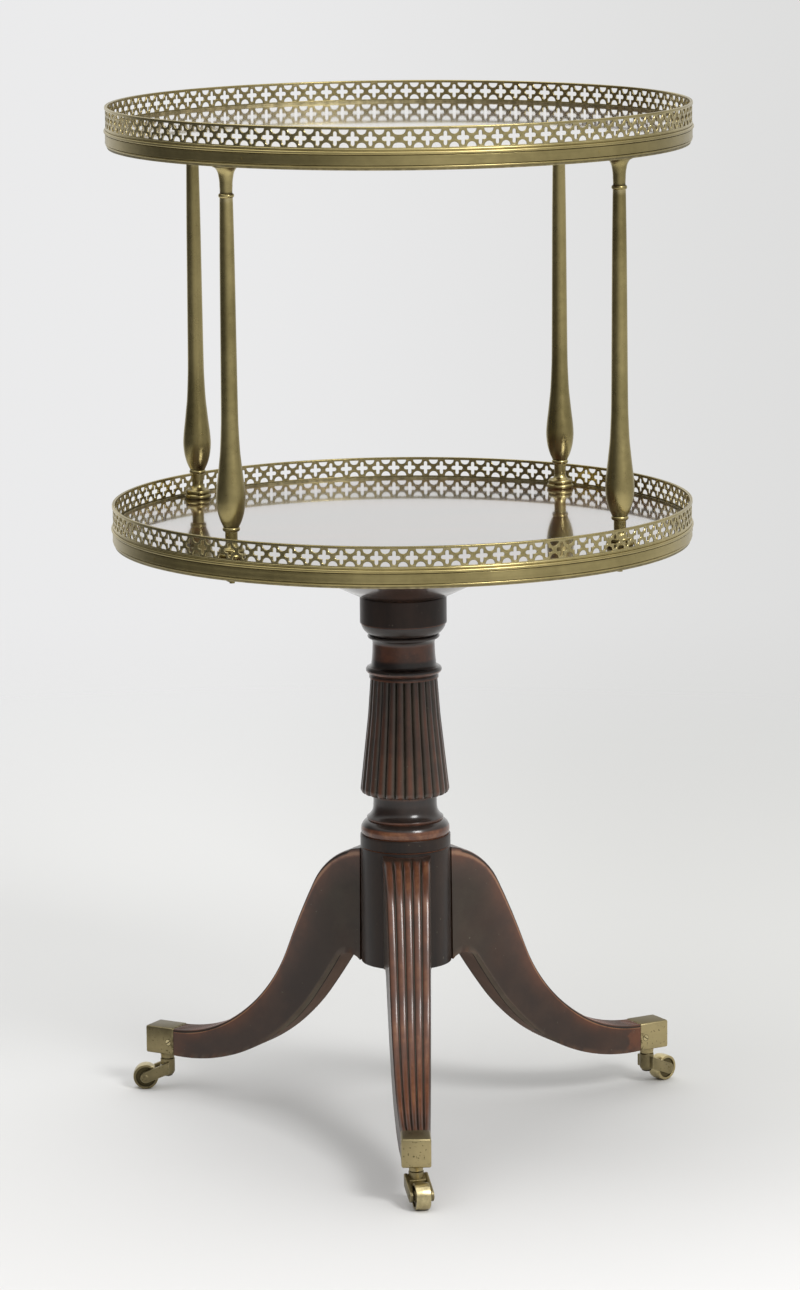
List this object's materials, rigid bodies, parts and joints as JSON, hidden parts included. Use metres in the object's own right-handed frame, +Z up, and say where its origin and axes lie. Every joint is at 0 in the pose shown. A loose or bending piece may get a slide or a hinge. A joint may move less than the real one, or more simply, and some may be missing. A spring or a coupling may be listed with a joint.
{
  "type": "two-tier etagere",
  "caption": "Round two-tier etagere: galleried mahogany trays on turned brass columns over a reeded pillar with sabre legs, brass toe caps and swivelling casters.",
  "frame": {"origin": "on the floor under the axis of the pillar and of both round tiers", "axes": "+Z up along the pillar, -Y towards the front leg's side that faces the viewer, +X to the viewer's right"},
  "size_m": [0.4826, 0.511, 0.8625],
  "materials": {
    "polished_mahogany": "dark mahogany, french polished to a mirror gloss",
    "mahogany": "very dark red-brown mahogany with a worn satin polish",
    "gallery_brass": "old satin brass with dark tarnish in the grooves",
    "column_brass": "turned satin brass, lightly polished",
    "caster_brass": "dull specked brass, brighter on the tread",
    "steel": "plain steel",
    "iron": "blackened iron strap"
  },
  "bodies": {
    "stand": {"back_left_column_base": "column_brass", "back_left_column_cap": "column_brass", "back_left_column_shaft": "column_brass", "back_right_column_base": "column_brass", "back_right_column_cap": "column_brass", "back_right_column_shaft": "column_brass", "column_bottom_studs": "steel", "column_nuts": "column_brass", "column_top_studs": "steel", "column_washers": "column_brass", "dome_block": "mahogany", "dome_screws": "steel", "front_caster_pintle": "steel", "front_left_column_base": "column_brass", "front_left_column_cap": "column_brass", "front_left_column_shaft": "column_brass", "front_leg": "mahogany", "front_right_column_base": "column_brass", "front_right_column_cap": "column_brass", "front_right_column_shaft": "column_brass", "front_toe_cap": "caster_brass", "left_caster_pintle": "steel", "left_leg": "mahogany", "left_toe_cap": "caster_brass", "leg_tie_plate": "iron", "lower_board": "polished_mahogany", "lower_gallery": "gallery_brass", "lower_rim_band": "gallery_brass", "lower_rim_pins": "gallery_brass", "pillar": "mahogany", "right_caster_pintle": "steel", "right_leg": "mahogany", "right_toe_cap": "caster_brass", "tie_plate_screws": "steel", "toe_cap_screws": "steel", "upper_board": "polished_mahogany", "upper_gallery": "gallery_brass", "upper_rim_band": "gallery_brass", "upper_rim_pins": "gallery_brass"},
    "front_caster": {"front_caster_axle": "steel", "front_caster_fork": "caster_brass"},
    "front_wheel": {"front_caster_wheel": "caster_brass"},
    "left_caster": {"left_caster_axle": "steel", "left_caster_fork": "caster_brass"},
    "left_wheel": {"left_caster_wheel": "caster_brass"},
    "right_caster": {"right_caster_axle": "steel", "right_caster_fork": "caster_brass"},
    "right_wheel": {"right_caster_wheel": "caster_brass"}
  },
  "joints": [
    {"name": "front_caster_swivel", "type": "hinge", "parent": "stand", "child": "front_caster", "pos_m": [0.00585, -0.23943, 0.02], "axis": [0, 0, 1], "continuous": true},
    {"name": "front_wheel_spin", "type": "hinge", "parent": "front_caster", "child": "front_wheel", "pos_m": [0.0098, -0.25801, 0.0112], "axis": [0.9781, 0.2079, 0], "continuous": true},
    {"name": "right_caster_swivel", "type": "hinge", "parent": "stand", "child": "right_caster", "pos_m": [0.20783, 0.11903, 0.02], "axis": [0, 0, 1], "continuous": true},
    {"name": "right_wheel_spin", "type": "hinge", "parent": "right_caster", "child": "right_wheel", "pos_m": [0.22195, 0.13174, 0.0112], "axis": [-0.6691, 0.7431, 0], "continuous": true},
    {"name": "left_caster_swivel", "type": "hinge", "parent": "stand", "child": "left_caster", "pos_m": [-0.20824, 0.1183, 0.02], "axis": [0, 0, 1], "continuous": true},
    {"name": "left_wheel_spin", "type": "hinge", "parent": "left_caster", "child": "left_wheel", "pos_m": [-0.22724, 0.1183, 0.0112], "axis": [0, -1, 0], "continuous": true}
  ]
}
